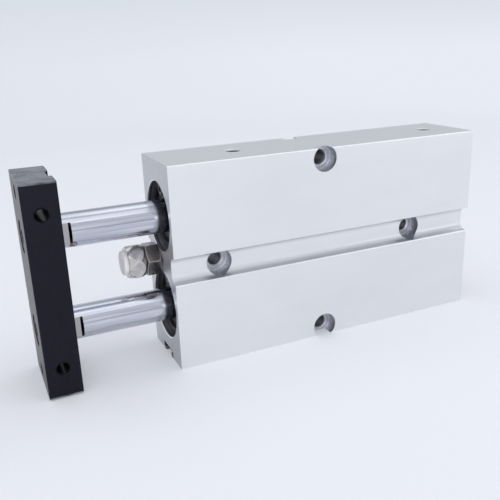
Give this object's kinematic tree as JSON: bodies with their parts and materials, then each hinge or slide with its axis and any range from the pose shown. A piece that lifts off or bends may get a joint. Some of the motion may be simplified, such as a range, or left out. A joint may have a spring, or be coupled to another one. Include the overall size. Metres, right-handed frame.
{
  "type": "guided pneumatic cylinder",
  "caption": "Twin-rod guided pneumatic cylinder: aluminium block with parallel bores, chromed rods, black end plate and an adjustable stop screw.",
  "frame": {"origin": "centre of the four-hole mounting pattern, half way through the block's thickness", "axes": "+X from the end plate to the rear of the block, along the rods; +Y through the block's thickness, along the mounting screws; +Z across the block to the side with the air ports"},
  "size_m": [0.1465, 0.025, 0.062],
  "materials": {
    "block_aluminium": "satin clear anodised",
    "plate_black": "satin black anodised",
    "rod_chrome": "hard chrome, polished",
    "screw_steel": "black oxide",
    "stop_nickel": "nickel plated",
    "nut_nickel": "nickel plated, darker",
    "clear_urethane": "translucent, soft",
    "cover_aluminium": "dark anodised",
    "bush_bronze": "plain bearing bronze",
    "seal_rubber": "nitrile",
    "circlip_steel": "phosphated spring steel",
    "piston_aluminium": "machined",
    "magnet_bonded": "plastic bonded magnet",
    "wear_band": "filled PTFE",
    "urethane": "soft urethane"
  },
  "bodies": {
    "cylinder": {"cylinder_body": "block_aluminium", "stop_screw": "stop_nickel", "lock_nut": "nut_nickel", "stop_bumper": "clear_urethane", "upper_rod_cover": "cover_aluminium", "upper_rod_bushing": "bush_bronze", "upper_rod_seal": "seal_rubber", "upper_cover_o_ring": "seal_rubber", "upper_front_circlip": "circlip_steel", "upper_rear_cover": "cover_aluminium", "upper_rear_o_ring": "seal_rubber", "upper_rear_circlip": "circlip_steel", "lower_rod_cover": "cover_aluminium", "lower_rod_bushing": "bush_bronze", "lower_rod_seal": "seal_rubber", "lower_cover_o_ring": "seal_rubber", "lower_front_circlip": "circlip_steel", "lower_rear_cover": "cover_aluminium", "lower_rear_o_ring": "seal_rubber", "lower_rear_circlip": "circlip_steel"},
    "carriage": {"end_plate": "plate_black", "plate_screws": "screw_steel", "upper_piston_rod": "rod_chrome", "upper_piston": "piston_aluminium", "upper_piston_seal": "seal_rubber", "upper_magnet_ring": "magnet_bonded", "upper_wear_ring": "wear_band", "upper_front_bumper": "urethane", "upper_rear_bumper": "urethane", "upper_piston_nut": "screw_steel", "lower_piston_rod": "rod_chrome", "lower_piston": "piston_aluminium", "lower_piston_seal": "seal_rubber", "lower_magnet_ring": "magnet_bonded", "lower_wear_ring": "wear_band", "lower_front_bumper": "urethane", "lower_rear_bumper": "urethane", "lower_piston_nut": "screw_steel"}
  },
  "joints": [
    {"name": "plate_slide", "type": "slide", "parent": "cylinder", "child": "carriage", "axis": [-1, 0, 0], "range_m": [-0.0175, 0.0325]}
  ]
}
